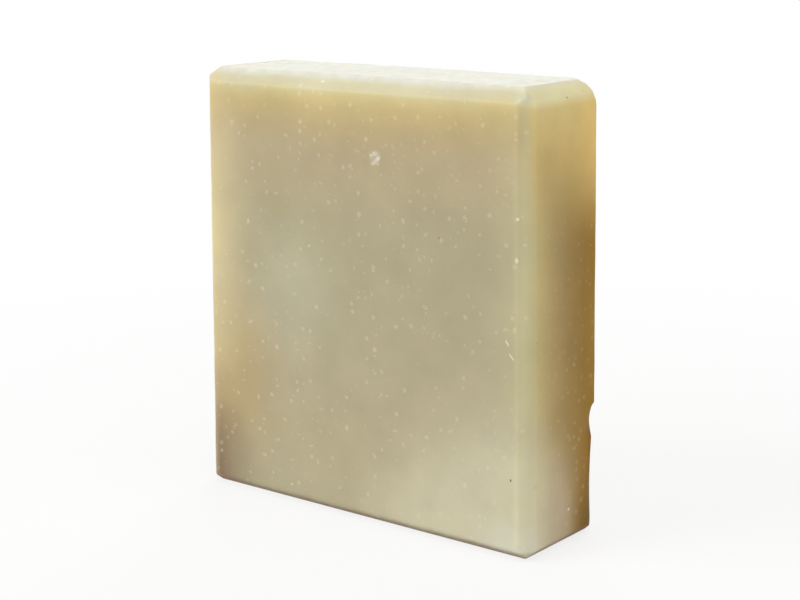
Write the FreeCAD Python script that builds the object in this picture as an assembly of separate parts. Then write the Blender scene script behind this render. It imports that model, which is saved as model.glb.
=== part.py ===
import FreeCAD, Part
import math
import os

# A bar of handmade soap: one slice cut across a poured loaf, with every edge planed off at 45 degrees.
# X runs across the bar, Y through it from the front cut to the back cut, and Z up to the poured top.
# The origin is in the flat base that the bar stands on, under the middle of its outer size.
# All sizes are in millimetres.

# Section of the loaf, as the tapered mould and the pour leave it
section_height = 90.0
base_width = 84.3
top_width = 81.7
pour_crown = 0.35

# Slice, between two plumb cuts
slice_thickness = 25.6

# Planed edges: each leg is what the plane takes off the faces on both sides of an edge
top_bevel = 3.0
side_bevel = 2.6
base_bevel = 2.3
ridge_round = 1.0

# Corner above and behind the right side, which handling rubbed off flat: how far the flat reaches
# along each of the three sharp edges that met there
rubbed_corner = 6.4

# Ridge at the back of the right side: its foot is worn to a long, shallow hollow, and a knock left a
# short one at the upper end of that. Each has its middle's height, its chord and its depth.
worn_foot_height = 11.0
worn_foot_chord = 32.0
worn_foot_depth = 1.4
knock_height = 22.8
knock_chord = 8.5
knock_depth = 1.5

# Crumbly void in the front cut, where a few air bubbles ran together: place of its middle,
# how far the bubbles lie from that middle, and the mouth and depth of each
void_right_of_middle = 5.7
void_below_top = 15.3
void_bubbles = 3
void_spread = 0.95
bubble_mouth = 1.5
bubble_depth = 0.45

front = -slice_thickness / 2
back = slice_thickness / 2
side_lean = (base_width - top_width) / 2 / section_height
shoulder = section_height - pour_crown
reach = 2 * (section_height + base_width + top_width)


def half_width(z):
    """Half of the section's width at height z."""
    return base_width / 2 - side_lean * z


def loaf_section():
    """Outline of the loaf across its length: flat base, leaning sides and the crowned pour."""
    base_left = FreeCAD.Vector(-half_width(0), front, 0)
    base_right = FreeCAD.Vector(half_width(0), front, 0)
    top_left = FreeCAD.Vector(-half_width(shoulder), front, shoulder)
    top_right = FreeCAD.Vector(half_width(shoulder), front, shoulder)
    crown = FreeCAD.Vector(0, front, section_height)
    outline = [
        Part.makeLine(base_left, base_right),
        Part.makeLine(base_right, top_right),
        Part.Arc(top_right, crown, top_left).toShape(),
        Part.makeLine(top_left, base_left),
    ]
    return Part.Face(Part.Wire(outline))


def flat_face(point, outward):
    """A flat face, as its outward direction and its distance from the origin."""
    outward.normalize()
    return outward, outward.dot(point)


def take_off(bar, outward, distance):
    """Cut away all of the bar that lies beyond a plane."""
    waste = Part.makeCylinder(reach, reach, outward * distance, outward)
    return bar.cut(waste)


def bevel(bar, face, other, leg):
    """Plane off the edge between two faces, at the same angle to both."""
    outward = face[0] + other[0]
    edge_distance = (face[1] + other[1]) / outward.Length
    outward.normalize()
    return take_off(bar, outward, edge_distance - leg / math.sqrt(2))


def scoop_radius(chord, depth):
    """Radius of the round hollow that has this mouth and depth."""
    return (chord**2 / 4 + depth**2) / (2 * depth)


front_face = flat_face(FreeCAD.Vector(0, front, 0), FreeCAD.Vector(0, -1, 0))
back_face = flat_face(FreeCAD.Vector(0, back, 0), FreeCAD.Vector(0, 1, 0))
right_face = flat_face(FreeCAD.Vector(half_width(0), 0, 0), FreeCAD.Vector(1, 0, side_lean))
left_face = flat_face(FreeCAD.Vector(-half_width(0), 0, 0), FreeCAD.Vector(-1, 0, side_lean))
top_face = flat_face(FreeCAD.Vector(0, 0, shoulder), FreeCAD.Vector(0, 0, 1))
base_face = flat_face(FreeCAD.Vector(0, 0, 0), FreeCAD.Vector(0, 0, -1))


def cut_slice():
    """The slice as the wire leaves it, with sharp edges."""
    return loaf_section().extrude(FreeCAD.Vector(0, slice_thickness, 0))


def rub_corner(bar):
    """Take off the corner of the pour, the right side and the back cut, evenly to all three."""
    corner = FreeCAD.Vector(half_width(shoulder), back, shoulder)
    outward = FreeCAD.Vector(1, 1, 1).normalize()
    return take_off(bar, outward, outward.dot(corner) - rubbed_corner / math.sqrt(3))


def plane_edges(bar):
    """Plane off the twelve edges."""
    for cut in (front_face, back_face):
        bar = bevel(bar, cut, top_face, top_bevel)
        bar = bevel(bar, cut, base_face, base_bevel)
    for side in (left_face, right_face):
        bar = bevel(bar, side, top_face, top_bevel)
        bar = bevel(bar, side, base_face, base_bevel)
        for cut in (front_face, back_face):
            bar = bevel(bar, side, cut, side_bevel)
    return bar


def rub_ridges(bar):
    """Round the ridges that the cuts left."""
    return bar.makeFillet(ridge_round, bar.Edges)


def ridge_hollow(height, chord, depth):
    """Round hollow across the ridge between the right side and the bevel behind it."""
    ridge = FreeCAD.Vector(half_width(height), back - side_bevel, height)
    outward = FreeCAD.Vector(math.cos(math.pi / 8), math.sin(math.pi / 8), 0)
    along_hollow = FreeCAD.Vector(-outward.y, outward.x, 0)
    radius = scoop_radius(chord, depth)
    length = 8 * depth
    middle = ridge + outward * (radius - depth)
    return Part.makeCylinder(radius, length, middle - along_hollow * (length / 2), along_hollow)


def crumbly_void():
    """Shallow bubbles that overlap round one middle in the front cut."""
    radius = scoop_radius(bubble_mouth, bubble_depth)
    hollows = []
    for number in range(void_bubbles):
        angle = 2 * math.pi * number / void_bubbles + math.pi / 6
        x = void_right_of_middle + void_spread * math.cos(angle)
        z = section_height - void_below_top + void_spread * math.sin(angle)
        hollows.append(Part.makeSphere(radius, FreeCAD.Vector(x, front - radius + bubble_depth, z)))
    return hollows


soap_bar = rub_ridges(rub_corner(plane_edges(cut_slice())))
soap_bar = soap_bar.cut(ridge_hollow(worn_foot_height, worn_foot_chord, worn_foot_depth))
soap_bar = soap_bar.cut(ridge_hollow(knock_height, knock_chord, knock_depth))
for hollow in crumbly_void():
    soap_bar = soap_bar.cut(hollow)

os.makedirs("parts", exist_ok=True)
soap_bar.exportStep("parts/soap_bar.step")
print("soap_bar: valid", soap_bar.isValid(), "solids", len(soap_bar.Solids), "faces", len(soap_bar.Faces))
print("volume in cm3", round(soap_bar.Volume / 1000, 2))
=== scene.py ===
import itertools
import math
import random

import bpy
from mathutils import Matrix, Vector


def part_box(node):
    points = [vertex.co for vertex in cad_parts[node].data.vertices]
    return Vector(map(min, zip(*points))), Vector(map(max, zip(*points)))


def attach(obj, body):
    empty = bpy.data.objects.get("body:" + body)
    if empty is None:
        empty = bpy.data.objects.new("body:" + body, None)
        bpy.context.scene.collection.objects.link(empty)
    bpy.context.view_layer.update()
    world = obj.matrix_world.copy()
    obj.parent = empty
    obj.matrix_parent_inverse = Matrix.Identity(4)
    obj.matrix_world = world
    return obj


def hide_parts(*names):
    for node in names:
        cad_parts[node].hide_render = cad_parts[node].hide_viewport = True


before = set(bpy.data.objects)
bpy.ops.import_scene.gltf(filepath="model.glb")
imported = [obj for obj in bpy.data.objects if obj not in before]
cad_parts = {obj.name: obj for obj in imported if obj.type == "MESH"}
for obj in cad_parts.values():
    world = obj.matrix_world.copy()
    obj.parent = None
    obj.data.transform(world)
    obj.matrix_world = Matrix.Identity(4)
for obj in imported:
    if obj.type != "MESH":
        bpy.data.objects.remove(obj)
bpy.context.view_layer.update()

# The bar: one slice of pale olive soap, poured as a loaf, cut off with a wire and planed along its edges.
# It is one solid block, so its outer size is the frame's own, and what is new here is its finer relief,
# its opened air bubbles and its colour. X runs across it, Y from the front cut to the back cut, Z up.

MM = 0.001
low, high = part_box("soap_bar")
bar_width = high.x - low.x
bar_height = high.z
front = low.y
back = high.y
top_narrower = 2.6 * MM
pour_crown = 0.35 * MM
top_bevel = 3.0 * MM
side_bevel = 2.6 * MM
base_bevel = 2.3 * MM
ridge_round = 0.42 * MM
side_lean = top_narrower / 2 / bar_height

bpy.ops.object.select_all(action="DESELECT")
bpy.ops.mesh.primitive_cube_add(
    size=1,
    location=(0, (front + back) / 2, bar_height / 2),
    scale=(bar_width, back - front, bar_height),
)
bar = bpy.context.active_object
bar.name = "soap_bar_body"
bpy.ops.object.transform_apply(location=True, rotation=False, scale=True)
bpy.ops.object.mode_set(mode="EDIT")


def select_in_mesh(kind, wanted):
    """Select the vertices, edges or faces of the mesh being edited that wanted(item) is true for."""
    bpy.ops.mesh.select_mode(type=kind)
    bpy.ops.mesh.select_all(action="DESELECT")
    bpy.ops.object.mode_set(mode="OBJECT")
    mesh = bpy.context.active_object.data
    for item in {"VERT": mesh.vertices, "EDGE": mesh.edges, "FACE": mesh.polygons}[kind]:
        item.select = wanted(item)
    bpy.ops.object.mode_set(mode="EDIT")


# The mould's sides lean in towards the top
select_in_mesh("VERT", lambda v: v.co.z > bar_height / 2)
bpy.ops.transform.resize(value=(1 - top_narrower / bar_width, 1, 1), center_override=(0, 0, 0))

# The plane takes one straight shaving off each of the twelve edges, and a cloth rubs the ridges down
front_face = (Vector((0, -1, 0)), Vector((0, front, 0)))
back_face = (Vector((0, 1, 0)), Vector((0, back, 0)))
right_face = (Vector((1, 0, side_lean)), Vector((bar_width / 2, 0, 0)))
left_face = (Vector((-1, 0, side_lean)), Vector((-bar_width / 2, 0, 0)))
top_face = (Vector((0, 0, 1)), Vector((0, 0, bar_height)))
base_face = (Vector((0, 0, -1)), Vector((0, 0, 0)))
shavings = []
for cut in (front_face, back_face):
    shavings += [(cut, top_face, top_bevel), (cut, base_face, base_bevel)]
for side in (left_face, right_face):
    shavings += [(side, top_face, top_bevel), (side, base_face, base_bevel)]
    shavings += [(side, front_face, side_bevel), (side, back_face, side_bevel)]
for (normal_a, point_a), (normal_b, point_b), leg in shavings:
    normal_a = normal_a.normalized()
    normal_b = normal_b.normalized()
    across = normal_a + normal_b
    edge_distance = (normal_a.dot(point_a) + normal_b.dot(point_b)) / across.length
    across.normalize()
    bpy.ops.mesh.select_all(action="SELECT")
    bpy.ops.mesh.bisect(
        plane_co=across * (edge_distance - leg / math.sqrt(2)),
        plane_no=across,
        use_fill=True,
        clear_outer=True,
    )
bpy.ops.mesh.select_all(action="SELECT")
bpy.ops.mesh.bevel(offset=ridge_round, segments=3, affect="EDGES")

# An even grid on every face, under a millimetre, which the unevenness of the cuts is laid into: the
# axis that the edges run along, the length that they all pass, and the number of cuts across them
grid = (
    ((1, 0, 0), 50 * MM, 100),
    ((0, 0, 1), 50 * MM, 100),
    ((0, 1, 0), 12 * MM, 24),
)
for axis, shortest, cuts in grid:

    def runs_along_axis(edge):
        ends = [bar.data.vertices[number].co for number in edge.vertices]
        span = ends[1] - ends[0]
        return span.length > shortest and abs(span.normalized().dot(Vector(axis))) > 0.99

    select_in_mesh("EDGE", runs_along_axis)
    bpy.ops.mesh.subdivide(number_cuts=cuts)
select_in_mesh("FACE", lambda face: face.normal.z > 0.99 and face.center.z > bar_height / 2)
bpy.ops.mesh.subdivide(number_cuts=1)
bpy.ops.object.mode_set(mode="OBJECT")

# Relief that the making left: a faint roll of the cut faces, and the wrinkled crust of the pour.
# The base is pressed flat by standing, so the relief fades out just above it. Each relief has its
# name, its size and depth in millimetres, and the group of vertices that it moves.
crust_fade = 3 * MM
foot_fade = 2 * MM
pour_within = 0.1 * MM
reliefs = (
    ("wire roll", 22, 0.30, "above_base"),
    ("cut drag", 6, 0.08, "above_base"),
    ("pour swell", 14, 0.45, "crust"),
    ("pour wrinkle", 3.2, 0.32, "crust"),
)
above_base = bar.vertex_groups.new(name="above_base")
crust = bar.vertex_groups.new(name="crust")
for vertex in bar.data.vertices:
    above_base.add([vertex.index], min(1, max(0, vertex.co.z / foot_fade)), "REPLACE")
    inside = min(
        bar_width / 2 - top_narrower / 2 - abs(vertex.co.x),
        vertex.co.y - front,
        back - vertex.co.y,
    )
    if vertex.co.z > bar_height - pour_within:
        vertex.co.z -= pour_crown * (2 * vertex.co.x / bar_width) ** 2
        crust.add([vertex.index], min(1, max(0, (inside - top_bevel) / crust_fade)), "REPLACE")
for name, size, depth, group in reliefs:
    pattern = bpy.data.textures.new(name, "CLOUDS")
    pattern.noise_scale = size * MM
    pattern.noise_depth = 2
    relief = bar.modifiers.new(name, "DISPLACE")
    relief.texture = pattern
    relief.texture_coords = "LOCAL"
    relief.mid_level = 0.5
    relief.strength = depth * MM
    relief.vertex_group = group
    bpy.ops.object.modifier_apply(modifier=name)

# The corner above and behind the right side is rubbed down to a rough round, cut here as ten facets,
# which face one to three parts across, through and up
rubbed_round = 4.4 * MM
corner = Vector((bar_width / 2 - top_narrower / 2, back, bar_height - pour_crown))
middle_of_round = corner - Vector((1, 1, 1)) * rubbed_round
bpy.ops.object.mode_set(mode="EDIT")
for across, through, up in itertools.product((1, 2, 3), repeat=3):
    if across + through + up <= 5:
        outward = Vector((across, through, up)).normalized()
        bpy.ops.mesh.select_all(action="SELECT")
        bpy.ops.mesh.bisect(
            plane_co=middle_of_round + outward * rubbed_round,
            plane_no=outward,
            use_fill=True,
            clear_outer=True,
        )
bpy.ops.object.mode_set(mode="OBJECT")


def hex_colour(code):
    """An sRGB hex colour as the linear one that a shader takes."""
    channels = [int(code[i : i + 2], 16) / 255 for i in (1, 3, 5)]
    return [c / 12.92 if c <= 0.04045 else ((c + 0.055) / 1.055) ** 2.4 for c in channels] + [1]


def add_node(tree, kind, inputs, stops=(), **settings):
    """Add a node with its settings, links and ramp stops; a node given as an input stands for its output.

    Inputs go by name or by number. Those of a MapRange are its value, the two ends that it is read
    between and what they become. Those of a Mix are its share, 0, and its two colours, 6 and 7.
    """
    node = tree.nodes.new("ShaderNode" + kind)
    for name, value in settings.items():
        setattr(node, name, value)
    for name, value in inputs.items():
        if isinstance(value, bpy.types.Node):
            value = next(socket for socket in value.outputs if socket.enabled)
        if isinstance(value, bpy.types.NodeSocket):
            tree.links.new(value, node.inputs[name])
        else:
            node.inputs[name].default_value = value
    for number, (position, colour) in enumerate(stops):
        if number > 1:
            node.color_ramp.elements.new(1)
        node.color_ramp.elements[number].position = position
        node.color_ramp.elements[number].color = hex_colour(colour)
    return node


# Cured soap: a fatty, faintly translucent solid. The middle of the loaf got hottest and set cool and
# grey, the soap under the pour and in the mould's skin stayed golden, and white ash lies on the pour.
# Tints and spots, from the photo: name, colour, strength, middle and half-widths in millimetres
# (x, y, z), and the shares of the half-widths where the tint starts to fade and where it is gone.
soap_tints = (
    ("cool gelled heart", "#C8C3A8", 0.55, (-16, -13, 46), (16, 20, 20), (0, 1)),
    # Painted shade: the lower left of the bar warmer and darker
    ("painted warm shade at the lower left", "#BFA26C", 0.60, (-34, -13, 26), (18, 60, 26), (0, 1)),
    # Painted light: the left rim paler, as if lit from the left and glowing through the soap
    ("painted light on the left rim", "#E9D8A8", 0.95, (-46, -13, 56), (22, 60, 62), (0, 1)),
    # Painted light: a golden glow high at the back of the right side, as of light passing through the
    # soap
    ("painted glow under the pour behind", "#F6D282", 0.88, (43, 15, 82), (9, 25, 27), (0, 1)),
    # Painted shade with a painted amber glow: the lower back of the right side dark and deep amber
    ("painted shade and amber glow behind", "#8A4C00", 1.00, (43, 15, 17), (8, 10, 19), (0.25, 1)),
    ("pale right edge", "#E0DAA6", 0.40, (41, -16, 52), (12, 8, 95), (0, 1)),
    # Painted light: the front-right bevel made paler, as bright as the front beside it
    ("painted light on the right bevel", "#E2DCAC", 0.62, (40.3, -12.3, 56), (2.5, 2.4, 115), (0, 1)),
    ("pour edge over the right side", "#F3EBBA", 0.95, (40.5, 0, 90), (4.5, 60, 4.4), (0.3, 1)),
    ("chalky corner of the pour", "#D5D4B9", 0.85, (39.2, -11.8, 88.4), (2.6, 2.2, 2.6), (0.3, 1)),
    # Painted light: the lower right of the front and side paler and greyer, as of light bounced from the
    # floor
    ("painted bounce light low on the right", "#DED9BE", 0.60, (42, -13, -4), (50, 17, 40), (0.45, 1)),
    ("painted bounce light at the ridge foot", "#E4E3D8", 0.60, (39, -13, 0), (14, 9, 11), (0, 1)),
    # Painted shade: the lower left corner dark brown
    ("painted shade in the left corner", "#6A4024", 1.00, (-47, -13, 1), (24, 60, 34), (0, 1)),
    ("dry flank at the foot", "#D0BCA0", 0.65, (42, -1.5, 4), (10, 8, 24), (0, 1)),
    # Painted shade: the foot of the right side's back corner near black-brown
    ("painted shade in the back corner", "#321C08", 1.00, (45, 16, -4), (15, 18, 25), (0, 1)),
    ("ash in the crumbly void", "#D5CCBE", 0.60, (5.4, -12.8, 74.6), (1.7, 1.2, 1.9), (0.3, 1)),
    ("dry crumb", "#F3EAD2", 0.85, (5.3, -12.8, 75.4), (0.65, 1.2, 0.45), (0.2, 1)),
    ("dry crumb", "#EEEAD4", 0.75, (4.4, -12.8, 75.0), (0.55, 1.2, 0.45), (0.2, 1)),
    ("dry crumb", "#EEEAD4", 0.75, (6.0, -12.8, 74.4), (0.60, 1.2, 0.60), (0.2, 1)),
    ("dry crumb", "#DDD3B4", 0.60, (5.8, -12.8, 73.4), (0.55, 1.2, 0.35), (0.2, 1)),
    ("dry crumb", "#FBFAF2", 0.75, (-8.8, -11.1, 88.3), (0.75, 0.6, 0.35), (0.2, 1)),
    ("dry crumb", "#F8F4E6", 0.80, (38.6, -12.8, 66.0), (0.45, 1.2, 0.40), (0.2, 1)),
    ("dry crumb", "#F4F2EA", 0.75, (38.5, -12.8, 58.3), (0.36, 1.2, 0.80), (0.2, 1)),
    ("dry crumb", "#F4EFDC", 0.70, (42, 1.2, 7.3), (1.5, 0.55, 0.50), (0.2, 1)),
    ("dark crumb", "#6E6244", 0.60, (20.9, -12.8, 60.6), (0.25, 0.8, 0.30), (0.3, 1)),
    ("dark crumb", "#5A5032", 0.90, (37.8, -12.8, 16.0), (0.25, 0.8, 0.38), (0.4, 1)),
    ("dark crumb", "#8A7A4C", 0.50, (40.8, 0.1, 87.2), (0.9, 0.4, 0.3), (0.4, 1)),
)

# Colours by depth in millimetres: of the body below the pour, of the mould's skin behind the front cut,
# which darkens to amber towards the back as painted shade and a painted glow of light through the soap,
# and of its golden skin below the pour
body_depth = 90
body_colours = (
    (0, "#DAD6BA"),
    (2.6, "#D4CCA6"),
    (3.8, "#D5C691"),
    (6, "#CCB883"),
    (10, "#C0AD83"),
    (15, "#BAAB89"),
    (30, "#B4AB8B"),
    (45, "#B5AC8D"),
    (60, "#BAB091"),
    (75, "#BBB08F"),
    (90, "#BEB697"),
)
amber_depth = 25
amber_shade_colours = (
    (1, "#CAC096"),
    (4, "#CDBA82"),
    (8, "#BDA471"),
    (13, "#AA8F5A"),
    (19, "#A17F42"),
    (22, "#A4823E"),
)
gold_depth = 30
gold_colours = ((2.5, "#F2E9BC"), (4.5, "#E6D290"), (12, "#DABF7E"), (30, "#CBAF70"))
# Paler ridges: partly wear, partly a painted highlight
worn_and_highlit_ridge_colour = "#E9E2BC"
# Painted shade round the foot
foot_shade_colour = "#8F7050"
fleck_in_cut = "#EDE6CA"
fleck_in_skin = "#DCC690"
thin_ash = "#E0DFD1"
thick_ash = "#E8E8DE"
dry_colour = "#F0EAD2"

# Sizes of the unevenness, the skin, the worn and highlit ridges, the painted shade at the foot, the
# flecks and the ash
drift_size = 16 * MM
cloud_size = 9 * MM
crumple_size = 2.2 * MM
drift_depth = 3 * MM
skin_in_front = 1.9 * MM
skin_behind = 4.5 * MM
skin_full = 0.1 * MM
gold_starts = 32 * MM
gold_full = 6 * MM
ridge_full = 0.1 * MM
ridge_gone = 1.6 * MM
streak_starts = 20 * MM
streak_full = 8 * MM
foot_shade_gone = 2.6 * MM
foot_shade_full = 0.9 * MM
foot_shade_waver = 0.8 * MM
fleck_bend = 1.1 * MM
fleck_pitch = 1.85 * MM
largest_fleck = 1.4 * MM
fleck_softness = 0.4 * MM
ash_fade = 0.8 * MM
ash_drift = 1.4 * MM
ash_waver = 0.3 * MM
ash_off_side = (1.4 * MM, 3.2 * MM)


def soap_colour(tree):
    """Nodes for the soap's colour anywhere in the bar, its place, and the shares of ash and of skin."""
    place = add_node(tree, "TexCoord", {}).outputs["Object"]
    x, y, z = add_node(tree, "SeparateXYZ", {0: place}).outputs
    drift = add_node(tree, "TexNoise", {"Vector": place, "Scale": 1 / drift_size, "Detail": 2.0})
    crumple = add_node(tree, "TexNoise", {"Vector": place, "Scale": 1 / crumple_size, "Detail": 3.0})

    # Bands under the pour, which run out unevenly
    level = add_node(tree, "Math", {0: drift, 1: drift_depth, 2: z}, operation="MULTIPLY_ADD")
    under_pour = add_node(
        tree, "MapRange", {0: level, 1: bar_height + drift_depth / 2, 2: drift_depth / 2, 3: 0, 4: 1}
    )
    body = add_node(
        tree,
        "ValToRGB",
        {0: under_pour},
        stops=[(depth / body_depth, code) for depth, code in body_colours],
    )

    # The mould's skin: golden under the pour; lower down amber, darkening towards the back as painted
    # shade and a painted glow of light through the soap
    sideways = add_node(
        tree,
        "Math",
        {0: z, 1: side_lean, 2: add_node(tree, "Math", {0: x}, operation="ABSOLUTE")},
        operation="MULTIPLY_ADD",
    )
    behind_front = add_node(tree, "MapRange", {0: y, 1: front, 2: front + amber_depth * MM, 3: 0, 4: 1})
    amber_skin_and_shade = add_node(
        tree,
        "ValToRGB",
        {0: behind_front},
        stops=[(depth / amber_depth, code) for depth, code in amber_shade_colours],
    )
    below_top = add_node(
        tree, "MapRange", {0: z, 1: bar_height, 2: bar_height - gold_depth * MM, 3: 0, 4: 1}
    )
    skin_gold = add_node(
        tree,
        "ValToRGB",
        {0: below_top},
        stops=[(depth / gold_depth, code) for depth, code in gold_colours],
    )
    gold_share = add_node(
        tree,
        "MapRange",
        {0: z, 1: bar_height - gold_starts, 2: bar_height - gold_full, 3: 0, 4: 1},
        interpolation_type="SMOOTHSTEP",
    )
    skin = add_node(tree, "Mix", {0: gold_share, 6: amber_skin_and_shade, 7: skin_gold}, data_type="RGBA")
    from_side = add_node(tree, "Math", {0: bar_width / 2, 1: sideways}, operation="SUBTRACT")
    skin_depth = add_node(tree, "MapRange", {0: y, 1: 0, 2: back, 3: skin_in_front, 4: skin_behind})
    skin_share = add_node(
        tree,
        "MapRange",
        {0: from_side, 1: skin_full, 2: skin_depth, 3: 1, 4: 0},
        interpolation_type="SMOOTHSTEP",
    )
    body = add_node(tree, "Mix", {0: skin_share, 6: body, 7: skin}, data_type="RGBA")

    # Tints and spots, each strongest at its middle
    for name, colour, strength, middle, half_widths, (full_at, gone_at) in soap_tints:
        steps = [1 / (half_width * MM) for half_width in half_widths]
        offsets = [-centre / half_width for centre, half_width in zip(middle, half_widths)]
        from_middle = add_node(
            tree, "VectorMath", {0: place, 1: steps, 2: offsets}, operation="MULTIPLY_ADD", label=name
        )
        distance = add_node(tree, "VectorMath", {0: from_middle}, operation="LENGTH")
        share = add_node(
            tree,
            "MapRange",
            {0: distance.outputs["Value"], 1: full_at, 2: gone_at, 3: strength, 4: 0},
            interpolation_type="SMOOTHSTEP",
        )
        body = add_node(tree, "Mix", {0: share, 6: body, 7: hex_colour(colour)}, data_type="RGBA")

    # Uneven mixing: faint light and dark clouds
    clouds = add_node(tree, "TexNoise", {"Vector": place, "Scale": 1 / cloud_size, "Detail": 4.0})
    cloud_shade = add_node(tree, "MapRange", {0: clouds, 1: 0.3, 2: 0.7, 3: 0.945, 4: 1.05})
    body = add_node(tree, "VectorMath", {0: body, "Scale": cloud_shade}, operation="SCALE")

    # The ridge between a cut and the planed edge beside it: an uneven, paler line, partly wear and partly
    # a painted highlight
    from_front = add_node(tree, "Math", {0: y, 1: front}, operation="SUBTRACT")
    from_back = add_node(tree, "Math", {0: back, 1: y}, operation="SUBTRACT")
    from_cut = add_node(tree, "Math", {0: from_front, 1: from_back}, operation="MINIMUM")
    past_ridge = add_node(tree, "Math", {0: from_side, 1: side_bevel}, operation="SUBTRACT")
    beside_ridge = add_node(tree, "Math", {0: past_ridge}, operation="ABSOLUTE")
    off_ridge = add_node(tree, "Math", {0: beside_ridge, 1: from_cut}, operation="MAXIMUM")
    ridge_wear_and_highlight = add_node(tree, "MapRange", {0: drift, 1: 0.38, 2: 0.62, 3: 0.0, 4: 0.08})
    ridge_wear_and_highlight = add_node(
        tree, "MapRange", {0: z, 1: streak_starts, 2: streak_full, 3: ridge_wear_and_highlight, 4: 0.22}
    )
    ridge_share = add_node(
        tree,
        "MapRange",
        {0: off_ridge, 1: ridge_full, 2: ridge_gone, 3: ridge_wear_and_highlight, 4: 0},
        interpolation_type="SMOOTHSTEP",
    )
    body = add_node(
        tree, "Mix", {0: ridge_share, 6: body, 7: hex_colour(worn_and_highlit_ridge_colour)}, data_type="RGBA"
    )

    # Painted shade round the foot: brown, darkest at the base, with an uneven upper edge
    footing = add_node(tree, "Math", {0: crumple, 1: foot_shade_waver, 2: z}, operation="MULTIPLY_ADD")
    foot_shade = add_node(
        tree,
        "MapRange",
        {0: footing, 1: foot_shade_gone, 2: foot_shade_full, 3: 0, 4: 0.75},
        interpolation_type="SMOOTHSTEP",
    )
    body = add_node(tree, "Mix", {0: foot_shade, 6: body, 7: hex_colour(foot_shade_colour)}, data_type="RGBA")

    # Sealed bubbles just under the surface: pale, uneven flecks up to a millimetre across
    bent_place = add_node(
        tree,
        "VectorMath",
        {0: crumple.outputs["Color"], 1: (fleck_bend, fleck_bend, fleck_bend), 2: place},
        operation="MULTIPLY_ADD",
    )
    flecks = add_node(tree, "TexVoronoi", {"Vector": bent_place, "Scale": 1 / fleck_pitch})
    dice = add_node(tree, "SeparateColor", {0: flecks.outputs["Color"]})
    fleck_reach = add_node(
        tree, "MapRange", {0: dice.outputs[0], 1: 0.1, 2: 1, 3: 0, 4: largest_fleck / 2 / fleck_pitch}
    )
    inside = add_node(tree, "Math", {0: fleck_reach, 1: flecks.outputs["Distance"]}, operation="SUBTRACT")
    faintest = add_node(tree, "MapRange", {0: skin_share, 1: 0, 2: 1, 3: 0.08, 4: 0.16})
    strongest = add_node(tree, "MapRange", {0: skin_share, 1: 0, 2: 1, 3: 0.54, 4: 0.30})
    fleck_strength = add_node(
        tree, "MapRange", {0: dice.outputs[1], 1: 0, 2: 1, 3: faintest, 4: strongest}
    )
    fleck_share = add_node(
        tree, "MapRange", {0: inside, 1: 0, 2: fleck_softness / fleck_pitch, 3: 0, 4: fleck_strength}
    )
    fleck = add_node(
        tree,
        "Mix",
        {0: skin_share, 6: hex_colour(fleck_in_cut), 7: hex_colour(fleck_in_skin)},
        data_type="RGBA",
    )
    body = add_node(tree, "Mix", {0: fleck_share, 6: body, 7: fleck}, data_type="RGBA")

    # Ash on the pour, which thins out over the planed edges and ends at those of the sides
    uneven = add_node(tree, "Math", {0: drift, 1: ash_drift, 2: z}, operation="MULTIPLY_ADD")
    uneven = add_node(tree, "Math", {0: crumple, 1: ash_waver, 2: uneven}, operation="MULTIPLY_ADD")
    ash = add_node(
        tree,
        "MapRange",
        {0: uneven, 1: bar_height - ash_fade, 2: bar_height + ash_fade, 3: 0, 4: 0.9},
        interpolation_type="SMOOTHSTEP",
    )
    ash_share = add_node(
        tree, "MapRange", {0: from_side, 1: ash_off_side[0], 2: ash_off_side[1], 3: 0, 4: ash}
    )
    patchy = add_node(tree, "MapRange", {0: crumple, 1: 0.34, 2: 0.64, 3: 0, 4: 1})
    powder = add_node(
        tree, "Mix", {0: patchy, 6: hex_colour(thin_ash), 7: hex_colour(thick_ash)}, data_type="RGBA"
    )
    body = add_node(tree, "Mix", {0: ash_share, 6: body, 7: powder}, data_type="RGBA")
    return body, place, ash_share, skin_share


# Light goes a few millimetres into the fat and comes out warmer
fatty_solid = {
    "IOR": 1.45,
    "Subsurface Weight": 0.5,
    "Subsurface Radius": (1.0, 0.7, 0.35),
    "Subsurface Scale": 4 * MM,
}
cut_shine = 0.3
skin_shine_behind = 0.08
hollow_shine = 0.03
grain_size = 0.8 * MM
crust_size = 1.0 * MM
drag_width = 1.1 * MM
drag_length = 25 * MM
bump_height = 1.0 * MM


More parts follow.
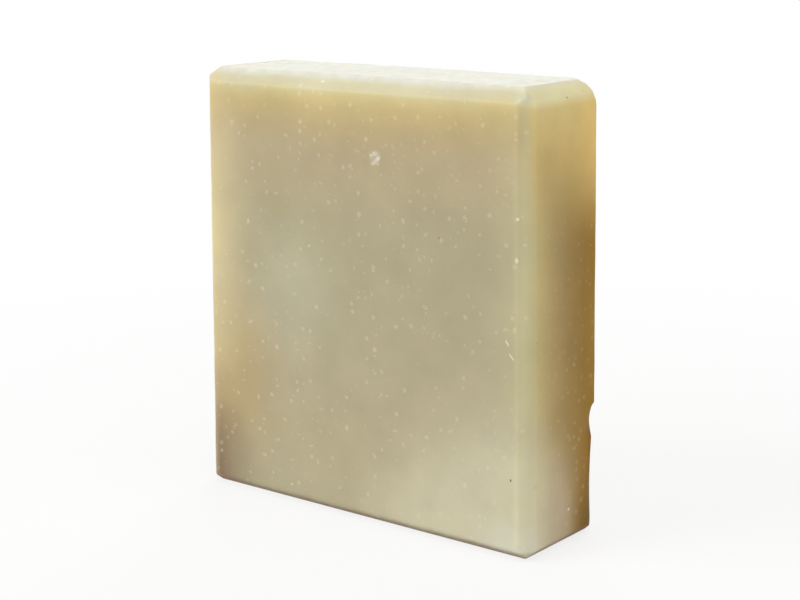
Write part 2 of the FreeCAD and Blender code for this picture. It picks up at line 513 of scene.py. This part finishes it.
def cured_soap():
    """The cut and planed soap: waxy and satin, with a fine grain, and matt in the skin and under ash."""
    material = bpy.data.materials.new("cured_olive_soap_wire_cut")
    material.use_nodes = True
    tree = material.node_tree
    tree.nodes.clear()
    body, place, ash, skin_share = soap_colour(tree)
    grain = add_node(tree, "TexNoise", {"Vector": place, "Scale": 1 / grain_size, "Detail": 3.0})
    marks = (1 / drag_width, 1 / drag_width, 1 / drag_length)
    along_wire = add_node(tree, "VectorMath", {0: place, 1: marks}, operation="MULTIPLY")
    drag = add_node(tree, "TexNoise", {"Vector": along_wire, "Scale": 1.0, "Detail": 2.0})
    grain_height = add_node(tree, "Math", {0: grain, 1: 0.04}, operation="MULTIPLY")
    height = add_node(tree, "Math", {0: drag, 1: 0.03, 2: grain_height}, operation="MULTIPLY_ADD")
    crust = add_node(tree, "TexNoise", {"Vector": place, "Scale": 1 / crust_size, "Detail": 3.0})
    crust_height = add_node(tree, "MapRange", {0: ash, 1: 0, 2: 1, 3: 0, 4: 0.16})
    height = add_node(tree, "Math", {0: crust, 1: crust_height, 2: height}, operation="MULTIPLY_ADD")
    bump = add_node(tree, "Bump", {"Strength": 0.6, "Distance": bump_height, "Height": height})
    satin = add_node(tree, "MapRange", {0: grain, 1: 0.3, 2: 0.7, 3: 0.46, 4: 0.60})
    matt = add_node(tree, "Math", {0: ash, 1: 0.35, 2: satin}, operation="MULTIPLY_ADD")
    matt = add_node(tree, "Math", {0: skin_share, 1: 0.25, 2: matt}, operation="MULTIPLY_ADD")
    towards_back = add_node(tree, "SeparateXYZ", {0: place}).outputs["Y"]
    skin_shine = add_node(
        tree, "MapRange", {0: towards_back, 1: front, 2: back, 3: cut_shine, 4: skin_shine_behind}
    )
    shine = add_node(tree, "MapRange", {0: skin_share, 1: 0, 2: 1, 3: cut_shine, 4: skin_shine})
    shader = add_node(
        tree,
        "BsdfPrincipled",
        {
            "Base Color": body,
            "Roughness": matt,
            "Normal": bump,
            "Specular IOR Level": shine,
            **fatty_solid,
        },
    )
    add_node(tree, "OutputMaterial", {0: shader})
    return material


def matt_soap(name, dryness):
    """The soap in a hollow, an opened bubble or a worn place: quite matt, and paler where it is dry."""
    material = bpy.data.materials.new(name)
    material.use_nodes = True
    tree = material.node_tree
    tree.nodes.clear()
    body, _, _, skin_share = soap_colour(tree)
    dry_share = add_node(tree, "MapRange", {0: skin_share, 1: 0, 2: 1, 3: dryness, 4: dryness / 4})
    dry = add_node(tree, "Mix", {0: dry_share, 6: body, 7: hex_colour(dry_colour)}, data_type="RGBA")
    shader = add_node(
        tree,
        "BsdfPrincipled",
        {
            "Base Color": dry,
            "Roughness": 0.9,
            "Specular IOR Level": hollow_shine,
            **fatty_solid,
        },
    )
    add_node(tree, "OutputMaterial", {0: shader})
    return material


bar.data.materials.clear()
bar.data.materials.append(cured_soap())
fresh_lining = matt_soap("dry_soap_in_opened_bubble", 0.19)
ashy_lining = matt_soap("ashy_soap_in_crumbly_void", 0.25)
chalky_lining = matt_soap("chalky_soap_in_scratch", 0.85)
scuffed_lining = matt_soap("scuffed_soap_in_worn_hollow", 0)

# Air bubbles that the cuts opened: shallow round hollows. These mark the front of this bar, from the
# photo: place across and up and width of the mouth, in millimetres, times longer than wide, and turn
# in degrees. Two short scratches beside the right ridge are made in the same way.
front_marks = (
    (-13.9, 74.1, 0.75, 1.6, -40),
    (-5.6, 74.3, 0.65, 1.8, -45),
    (1.4, 75.6, 0.55, 1.0, 0),
    (7.2, 76.7, 0.50, 1.0, 0),
    (9.9, 77.0, 0.60, 2.6, -65),
    (10.4, 74.2, 0.50, 2.0, -55),
    (9.9, 72.1, 0.50, 1.3, 80),
    (7.0, 71.4, 0.60, 1.4, -20),
    (-0.3, 72.0, 0.60, 1.2, -30),
    (15.1, 78.9, 0.55, 1.0, 0),
    (19.4, 79.8, 0.50, 1.3, 60),
    (15.6, 74.3, 0.45, 1.0, 0),
    (16.8, 73.3, 0.80, 1.2, 45),
    (9.4, 82.1, 0.50, 1.0, 0),
    (-15.0, 70.5, 0.70, 1.3, -40),
    (-8.4, 68.5, 0.35, 3.4, -42),
    (-6.3, 66.6, 0.60, 1.0, 0),
    (0.9, 62.2, 0.70, 1.0, 0),
    (-15.7, 34.9, 0.80, 1.2, 30),
    (-13.9, 26.5, 0.70, 1.4, 75),
    (-15.3, 15.4, 0.70, 1.3, -30),
    (-14.2, 14.6, 0.60, 1.4, -30),
    (5.1, 31.7, 0.80, 1.0, 0),
    (33.6, 27.6, 0.80, 1.0, 0),
    (38.6, 66.1, 0.70, 1.2, 20),
    (38.7, 58.2, 0.60, 1.8, -70),
    (36.5, 21.6, 0.50, 1.0, 0),
    (37.2, 20.0, 0.50, 1.0, 0),
    (38.3, 18.8, 0.55, 1.2, 60),
    (31.9, 7.3, 0.80, 1.2, 0),
    (-3.1, 87.0, 0.80, 1.2, 30),
    (-8.8, 88.3, 0.80, 2.2, 45),
)
scratches = ((36.7, 42.5, 0.32, 5.0, -54), (37.7, 40.0, 0.32, 6.0, -46))
side_mark = (1.2, 7.3, 0.9, 1.2, 0.5)
depth_of_mouth = 0.19
bubble_seed = 41
random_mouths = (0.45, 0.5, 0.55, 0.6, 0.65, 0.7, 0.8, 0.95)
random_stretches = (1.0, 1.1, 1.3, 1.7)
clear_of_side = 2.4 * MM
clear_of_cut = 1.4 * MM
clear_of_base = 3 * MM
clear_of_top = 2 * MM
random_bubbles = (
    ("front", (0, 1, 0), 125),
    ("back", (0, -1, 0), 150),
    ("right", (-1, 0, 0), 28),
    ("left", (1, 0, 0), 28),
    ("top", (0, 0, -1), 16),
)
random_of_bar = random.Random(bubble_seed)
balls = []
taken = []


def open_bubble(aim, looking, mouth, stretch, turn, lining):
    """Add a ball that leaves a hollow this wide where aim is seen on the bar, if no other is there."""
    looking = Vector(looking)
    _, place, outward, _ = bar.ray_cast(Vector(aim) - looking * bar_width, looking)
    depth = mouth * depth_of_mouth
    radius = (mouth**2 / 4 + depth**2) / (2 * depth)
    centre = place + outward * (radius - depth)
    reach = radius * stretch
    if any((centre - other).length < reach + other_reach for other, other_reach in taken):
        return
    taken.append((centre, reach))
    facing = outward.to_track_quat("Z", "Y").to_matrix() @ Matrix.Rotation(turn, 3, "Z")
    bpy.ops.mesh.primitive_ico_sphere_add(
        subdivisions=2,
        radius=radius,
        location=centre,
        rotation=facing.to_euler(),
        scale=(stretch, 1, 1),
    )
    ball = bpy.context.active_object
    ball.data.materials.append(lining)
    balls.append(ball)


for across, up, mouth, stretch, turn in front_marks:
    aim = (across * MM, 0, up * MM)
    open_bubble(aim, (0, 1, 0), mouth * MM, stretch, math.radians(turn), fresh_lining)
for across, up, mouth, stretch, turn in scratches:
    aim = (across * MM, 0, up * MM)
    open_bubble(aim, (0, 1, 0), mouth * MM, stretch, math.radians(turn), chalky_lining)
through, up, mouth, stretch, turn = side_mark
open_bubble((0, through * MM, up * MM), (-1, 0, 0), mouth * MM, stretch, turn, ashy_lining)
for _, looking, count in random_bubbles:
    for _ in range(count):
        aim = (
            random_of_bar.uniform(-1, 1) * (bar_width / 2 - clear_of_side),
            random_of_bar.uniform(-1, 1) * (-front - clear_of_cut),
            random_of_bar.uniform(clear_of_base, bar_height - clear_of_top),
        )
        mouth = random_of_bar.choice(random_mouths) * MM
        stretch = random_of_bar.choice(random_stretches)
        open_bubble(aim, looking, mouth, stretch, random_of_bar.uniform(0, math.pi), fresh_lining)
bpy.ops.object.select_all(action="DESELECT")
for ball in balls:
    ball.select_set(True)
bpy.context.view_layer.objects.active = balls[0]
bpy.ops.object.join()
bubbles = bpy.context.active_object


def crumble(roughness, seed):
    """Give a round hollow's shape an uneven surface."""
    bpy.ops.object.mode_set(mode="EDIT")
    bpy.ops.mesh.select_all(action="SELECT")
    bpy.ops.transform.vertex_random(offset=roughness, seed=seed)
    bpy.ops.object.mode_set(mode="OBJECT")


def cut_away(waste):
    """Take a closed shape out of the bar; the faces that this leaves get the shape's own material."""
    bpy.ops.object.select_all(action="DESELECT")
    bar.select_set(True)
    bpy.context.view_layer.objects.active = bar
    cut = bar.modifiers.new("cut", "BOOLEAN")
    cut.operation = "DIFFERENCE"
    cut.solver = "MANIFOLD"
    cut.object = waste
    cut.material_mode = "TRANSFER"
    bpy.ops.object.modifier_apply(modifier=cut.name)
    bpy.data.objects.remove(waste)


crumble(0.03 * MM, bubble_seed)
cut_away(bubbles)

# The crumbly void, where a few bubbles ran together: each one's place across and up from the bar's
# middle and base, its mouth and its depth, in millimetres
void_bubbles = (
    (4.6, 75.0, 1.1, 0.30),
    (5.6, 75.3, 1.2, 0.36),
    (6.2, 74.7, 1.2, 0.30),
    (5.2, 74.3, 1.5, 0.42),
    (4.8, 73.7, 0.9, 0.24),
    (6.0, 73.5, 1.0, 0.26),
)
for number, (across, up, mouth, depth) in enumerate(void_bubbles):
    radius = (mouth**2 / 4 + depth**2) / (2 * depth)
    bpy.ops.object.select_all(action="DESELECT")
    bpy.ops.mesh.primitive_ico_sphere_add(
        subdivisions=3,
        radius=radius * MM,
        location=(across * MM, front + (depth - radius) * MM, up * MM),
    )
    void_ball = bpy.context.active_object
    void_ball.data.materials.append(ashy_lining)
    crumble(0.07 * MM, number)
    cut_away(void_ball)

# The ridge at the back of the right side: its foot is worn to a long, shallow hollow, and a knock left
# a short one at the upper end of that. Each has its middle's height, its chord and its depth.
worn_foot = (10.6 * MM, 35.0 * MM, 1.38 * MM)
knock = (22.2 * MM, 9.6 * MM, 1.58 * MM)
half_of_bevel = math.pi / 8
for height, chord, depth in (worn_foot, knock):
    radius = (chord**2 / 4 + depth**2) / (2 * depth)
    outward = Vector((math.cos(half_of_bevel), math.sin(half_of_bevel), 0))
    ridge = Vector((bar_width / 2 - side_lean * height, back - side_bevel, height))
    bpy.ops.object.select_all(action="DESELECT")
    bpy.ops.mesh.primitive_cylinder_add(
        vertices=360,
        radius=radius,
        depth=8 * depth,
        location=ridge + outward * (radius - depth),
        rotation=(math.pi / 2, 0, half_of_bevel),
    )
    roller = bpy.context.active_object
    roller.data.materials.append(scuffed_lining)
    cut_away(roller)
bpy.ops.object.shade_smooth_by_angle(angle=math.radians(28))

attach(bar, "root")
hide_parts("soap_bar")

# The floor: one sheet of white paper under the bar. It is blank where the camera sees it plainly,
# and keeps a soft trace of the bar's shadow close to it.
paper_half = 3.0
trace_start = 0.08
trace_end = 0.30
blank_near = 0.8
bpy.ops.object.select_all(action="DESELECT")
bpy.ops.mesh.primitive_plane_add(size=2 * paper_half, location=(0, 0, 0))
floor = bpy.context.active_object
floor.name = "floor"
paper = bpy.data.materials.new("white_paper_floor")
paper.use_nodes = True
tree = paper.node_tree
tree.nodes.clear()


def seen_share(tree):
    """1 for what the camera sees, plainly, in a reflection or through something clear; 0 for light."""
    ray = add_node(tree, "LightPath", {}).outputs
    glanced = add_node(
        tree, "Math", {0: ray["Is Glossy Ray"], 1: ray["Is Transmission Ray"]}, operation="ADD"
    )
    return add_node(tree, "Math", {0: ray["Is Camera Ray"], 1: glanced}, operation="ADD", use_clamp=True)


from_bar = add_node(
    tree, "VectorMath", {0: add_node(tree, "TexCoord", {}).outputs["Object"]}, operation="LENGTH"
)
blankness = add_node(
    tree,
    "MapRange",
    {0: from_bar.outputs["Value"], 1: trace_start, 2: trace_end, 3: blank_near, 4: 1.0},
    interpolation_type="SMOOTHSTEP",
)
blank_share = add_node(tree, "Math", {0: seen_share(tree), 1: blankness}, operation="MULTIPLY")
lit = add_node(tree, "BsdfDiffuse", {"Color": hex_colour("#F4F4F2")})
blank = add_node(tree, "Emission", {"Color": (1, 1, 1, 1), "Strength": 1.0})
paper_look = add_node(tree, "MixShader", {0: blank_share, 1: lit, 2: blank})
add_node(tree, "OutputMaterial", {0: paper_look})
floor.data.materials.append(paper)

# The light: a plain soft studio, with the strongest lamp high on the left, a weak one on the right,
# one overhead and one behind, in a pale room. Each lamp has its place and size in metres and its watts.
room_level = 0.25
lamps = (
    ("window_left", (-0.55, -0.75, 0.70), 0.7, 6.6),
    ("fill_right", (0.75, -0.55, 0.30), 0.6, 1.6),
    ("overhead", (0.25, -0.05, 0.97), 0.8, 3.1),
    ("behind", (-0.45, 0.85, 0.55), 0.7, 5.0),
)
world = bpy.data.worlds.new("studio")
bpy.context.scene.world = world
world.use_nodes = True
tree = world.node_tree
tree.nodes.clear()
room = add_node(tree, "Background", {"Color": (1, 1, 1, 1), "Strength": room_level})
blank = add_node(tree, "Background", {"Color": (1, 1, 1, 1), "Strength": 1.0})
studio_look = add_node(tree, "MixShader", {0: seen_share(tree), 1: room, 2: blank})
add_node(tree, "OutputWorld", {0: studio_look})

middle_of_bar = Vector((0, 0, bar_height / 2))
for name, place, size, power in lamps:
    lamp = bpy.data.lights.new(name, "AREA")
    lamp.size = size
    lamp.energy = power
    light = bpy.data.objects.new(name, lamp)
    light.location = place
    light.rotation_euler = (middle_of_bar - Vector(place)).to_track_quat("-Z", "Y").to_euler()
    bpy.context.scene.collection.objects.link(light)

# The camera: a little above the bar and to its right, as the photograph was taken.
camera_place = Vector((212.3, -268.4, 119.7)) * MM
camera_heading = math.radians(38.16)
camera_tilt = math.radians(12.55)
camera_roll = math.radians(-0.23)
camera = bpy.data.cameras.new("camera")
camera.sensor_width = 36
camera.lens = 77.35
camera.clip_start = 0.01
viewpoint = bpy.data.objects.new("camera", camera)
viewpoint.matrix_world = (
    Matrix.Translation(camera_place)
    @ Matrix.Rotation(camera_heading, 4, "Z")
    @ Matrix.Rotation(math.pi / 2 - camera_tilt, 4, "X")
    @ Matrix.Rotation(camera_roll, 4, "Z")
)
bpy.context.scene.collection.objects.link(viewpoint)
bpy.context.scene.camera = viewpoint
bpy.context.scene.view_settings.view_transform = "Standard"
